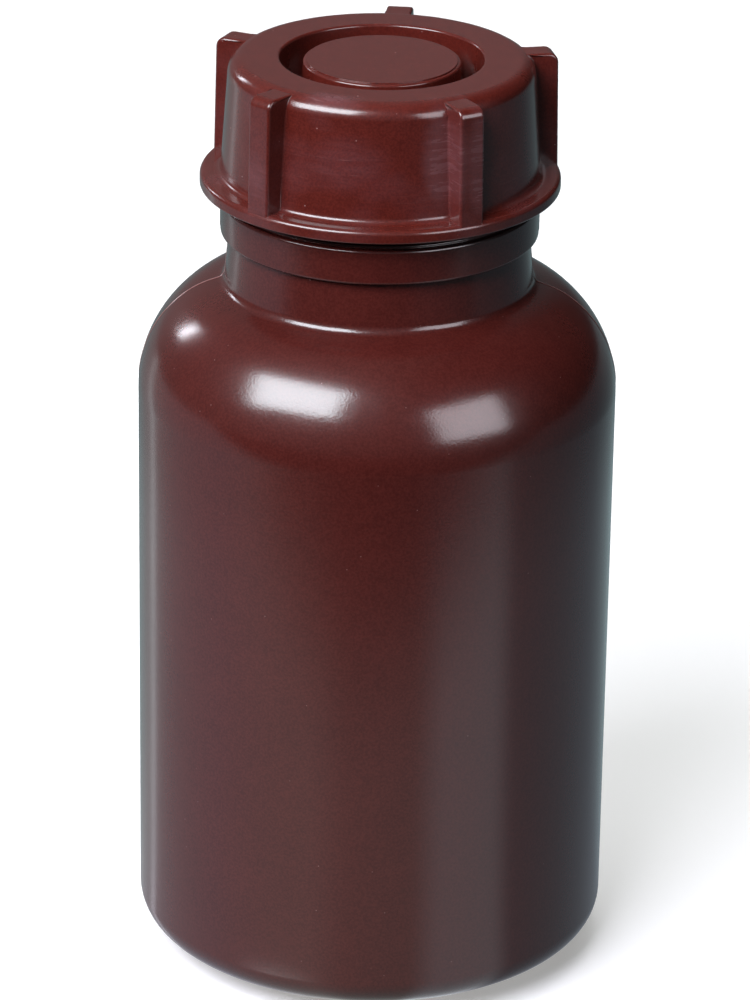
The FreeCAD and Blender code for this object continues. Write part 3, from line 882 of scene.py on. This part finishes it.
def studioFloor():
    # painted table: matt and pale
    material = newMaterial("paintedTable")
    tree = material.node_tree
    paint = addNode(tree, "ShaderNodeBsdfPrincipled", {
        "Base Color": linear(stage["floorColour"]), "Roughness": 0.8, "Specular IOR Level": 0.1,
        "Emission Color": linear(stage["floorColour"]), "Emission Strength": stage["floorGlow"]})
    addNode(tree, "ShaderNodeOutputMaterial", {"Surface": paint})
    bpy.ops.mesh.primitive_plane_add(size=stage["floorSize"], location=(0, 0, -stage["floorDrop"] * mm))
    floor = bpy.context.object
    floor.name = "studioFloor"
    floor.data.materials.append(material)
    floor.visible_diffuse = False    # it only takes the shadow; the gloss sees the card in its place
    floor.visible_glossy = False
    floor.visible_shadow = False


def angleRound(tree, place, middle):
    # how far round that point from the viewer's side, in radians, plus to the right
    x, y = (c * mm for c in middle)
    aside = addNode(tree, "ShaderNodeMath", {0: place.outputs["X"], 1: x}, operation="SUBTRACT")
    nearer = addNode(tree, "ShaderNodeMath", {0: y, 1: place.outputs["Y"]}, operation="SUBTRACT")
    return addNode(tree, "ShaderNodeMath", {0: aside, 1: nearer}, operation="ARCTAN2")


def apartFrom(tree, source, middle):
    # how far the source is from that value, to either side
    aside = addNode(tree, "ShaderNodeMath", {0: source, 1: middle}, operation="SUBTRACT")
    return addNode(tree, "ShaderNodeMath", {0: aside}, operation="ABSOLUTE")


def cardColour(tree, place):
    # the card's colours round the bottle
    share = addNode(tree, "ShaderNodeMapRange", {
        "Value": angleRound(tree, place, stage["cardMiddle"]), "From Min": -math.pi, "From Max": math.pi})
    ramp = addNode(tree, "ShaderNodeValToRGB", {"Fac": share})
    stops = ramp.color_ramp.elements
    while len(stops) > 1:
        stops.remove(stops[-1])
    for index, (degrees, colour, glow) in enumerate(stage["cardGlow"]):
        stop = stops[0] if index == 0 else stops.new((degrees + 180) / 360)
        stop.position = (degrees + 180) / 360
        stop.color = [c * glow for c in linear(colour)[:3]] + [1]
    return ramp.outputs["Color"]


def cardStrength(tree, place, away):
    # it fades out in front and dims far off, and has its pale strip and its pale patch
    front = addNode(tree, "ShaderNodeMapRange", {
        "Value": place.outputs["Y"], "From Min": stage["cardFull"] * mm, "From Max": stage["cardFront"] * mm,
        **falling}, **soft)
    near = addNode(tree, "ShaderNodeMapRange", {
        "Value": away, "From Min": stage["cardNear"] * mm, "From Max": stage["cardFar"] * mm,
        **falling}, **soft)
    farGlow = addNode(tree, "ShaderNodeMapRange", {
        "Value": place.outputs["X"], "From Min": stage["farLeft"] * mm, "From Max": stage["farRight"] * mm,
        "To Min": stage["farGlowLeft"], "To Max": stage["farGlowRight"]})
    near = addNode(tree, "ShaderNodeMath", {0: near, 1: farGlow}, operation="MAXIMUM")
    even = addNode(tree, "ShaderNodeMath", {0: front, 1: near}, operation="MULTIPLY")

    aside = apartFrom(tree, angleRound(tree, place, stage["stripFrom"]), math.radians(stage["stripWay"]))
    halfWidth, softness = math.radians(stage["stripHalfWidth"]), stage["stripSoftness"]
    strip = addNode(tree, "ShaderNodeMapRange", {
        "Value": aside, "From Min": halfWidth * (1 - softness), "From Max": halfWidth * (1 + softness),
        **falling}, **soft)
    strip = addNode(tree, "ShaderNodeMath", {
        0: strip, 1: stage["stripGlow"], 2: 1.0}, operation="MULTIPLY_ADD")

    across = addNode(tree, "ShaderNodeMapRange", {
        "Value": apartFrom(tree, away, stage["patchOut"] * mm),
        "From Min": 0.0, "From Max": stage["patchWidth"] * mm, **falling}, **soft)
    aside = apartFrom(tree, angleRound(tree, place, (0, 0)), math.radians(stage["patchWay"]))
    along = addNode(tree, "ShaderNodeMapRange", {
        "Value": aside, "From Min": 0.0, "From Max": math.radians(stage["patchSpread"]), **falling}, **soft)
    patch = addNode(tree, "ShaderNodeMath", {0: across, 1: along}, operation="MULTIPLY")
    patch = addNode(tree, "ShaderNodeMath", {0: patch, 1: stage["patchGlow"]}, operation="MULTIPLY")
    return addNode(tree, "ShaderNodeMath", {0: strip, 1: even, 2: patch}, operation="MULTIPLY_ADD")


def reflectorCard():
    # pale card on the table, seen only in the plastic's gloss, brighter to the sides than in front
    material = newMaterial("reflectorCard")
    tree = material.node_tree
    spot = addNode(tree, "ShaderNodeTexCoord").outputs["Object"]
    place = addNode(tree, "ShaderNodeSeparateXYZ", {"Vector": spot})
    away = addNode(tree, "ShaderNodeVectorMath", {0: spot}, operation="LENGTH")
    glow = addNode(tree, "ShaderNodeEmission", {
        "Color": cardColour(tree, place), "Strength": cardStrength(tree, place, away)})
    addNode(tree, "ShaderNodeOutputMaterial", {"Surface": glow})
    bpy.ops.mesh.primitive_plane_add(size=stage["cardSize"], location=(0, 0, -stage["cardDrop"] * mm))
    card = bpy.context.object
    card.name = "reflectorCard"
    card.data.materials.append(material)
    card.visible_camera = False
    card.visible_diffuse = False
    card.visible_shadow = False


def softbox(name, azimuth, elevation, distance, width, height, power, colour, roll=0):
    # azimuth from the viewer's side, plus to the right; angles in degrees, sizes in m, power in W
    a, e = math.radians(azimuth), math.radians(elevation)
    way = Vector((math.sin(a) * math.cos(e), -math.cos(a) * math.cos(e), math.sin(e)))
    light = bpy.data.lights.new(name, "AREA")
    light.shape = "RECTANGLE"
    light.size, light.size_y = width, height
    light.energy = power
    light.color = linear(colour)[:3]
    lamp = bpy.data.objects.new(name, light)
    bpy.context.scene.collection.objects.link(lamp)
    facing = way.to_track_quat("Z", "Y").to_matrix() @ Matrix.Rotation(math.radians(roll), 3, "Z")
    spot = Vector((0, 0, stage["lampAim"])) + way * distance
    lamp.matrix_world = Matrix.Translation(spot) @ facing.to_4x4()
    return lamp


def studioWorld():
    # a dim room, a little brighter behind the bottle and darker on the right
    world = bpy.data.worlds.new("studio")
    bpy.context.scene.world = world
    world.use_nodes = True
    tree = world.node_tree
    way = addNode(tree, "ShaderNodeTexCoord").outputs["Generated"]
    behind = addNode(tree, "ShaderNodeVectorMath", {0: way, 1: stage["backWay"]}, operation="DOT_PRODUCT")
    glow = addNode(tree, "ShaderNodeMapRange", {
        "Value": behind, "From Min": stage["backStart"], "From Max": stage["backFull"],
        "To Min": stage["worldGlow"], "To Max": stage["backGlow"]}, **soft)
    toRight = addNode(tree, "ShaderNodeSeparateXYZ", {"Vector": way}).outputs["X"]
    dimmed = addNode(tree, "ShaderNodeMapRange", {
        "Value": toRight, "From Min": 0.0, "From Max": stage["rightFull"], **falling}, **soft)
    dimmed = addNode(tree, "ShaderNodeMath", {0: dimmed, 1: stage["rightGlow"]}, operation="MAXIMUM")
    glow = addNode(tree, "ShaderNodeMath", {0: glow, 1: dimmed}, operation="MULTIPLY")
    room = tree.nodes["Background"]
    room.inputs["Color"].default_value = linear(stage["worldColour"])
    tree.links.new(glow.outputs["Value"], room.inputs["Strength"])


studioFloor()
reflectorCard()
studioWorld()
# lamps that light the plastic's colour
for lamp in (softbox("key", azimuth=-37, elevation=42, distance=0.95, width=0.73, height=0.51,
                     power=17.9, colour="#f2f2ff"),
             softbox("overhead", azimuth=200, elevation=80, distance=1.4, width=0.9, height=0.9,
                     power=8, colour="#fbfcff"),
             softbox("fromBehind", azimuth=172, elevation=42, distance=1.4, width=1.5, height=1.1,
                     power=8, colour="#fbfcff")):
    lamp.visible_glossy = False
# and those that its gloss mirrors
for lamp in (softbox("windowLeft", azimuth=-47.5, elevation=40.7, distance=1.3, width=0.98, height=0.61,
                     power=33, colour="#edf8ff", roll=11),
             softbox("windowRight", azimuth=47, elevation=22, distance=1.4, width=0.86, height=0.76,
                     power=13.6, colour="#f0eef6"),
             softbox("stripBackLeft", azimuth=-132.5, elevation=20.5, distance=1.4, width=0.115, height=0.27,
                     power=1.75, colour="#f4f6ff")):
    lamp.visible_diffuse = False

view = {
    "aim": Vector((-0.056, 0, 77.267)) * mm,
    "distance": 846.8 * mm,
    "elevation": math.radians(23.302),
    "roll": math.radians(0.881),
    "focalPixels": 5126.8,
    "imageHeight": 1000,
}
camera = bpy.data.cameras.new("camera")
camera.sensor_fit = "AUTO"       # the sensor's width lies along the picture's longer side, its height
camera.sensor_width = 36
camera.lens = view["focalPixels"] * camera.sensor_width / view["imageHeight"]
camera.clip_start, camera.clip_end = 0.05, 20
viewer = bpy.data.objects.new("camera", camera)
bpy.context.scene.collection.objects.link(viewer)
ahead = Vector((0, math.cos(view["elevation"]), -math.sin(view["elevation"])))
level, upright = Vector((1, 0, 0)), Vector((0, math.sin(view["elevation"]), math.cos(view["elevation"])))
cosRoll, sinRoll = math.cos(view["roll"]), math.sin(view["roll"])
right = level * cosRoll + upright * sinRoll
above = upright * cosRoll - level * sinRoll
viewer.matrix_world = Matrix.Translation(view["aim"] - ahead * view["distance"]) @ Matrix(
    (right, above, -ahead)).transposed().to_4x4()
bpy.context.scene.camera = viewer
bpy.context.scene.view_settings.view_transform = "Standard"
bpy.context.scene.view_settings.look = "None"
print("stage set")
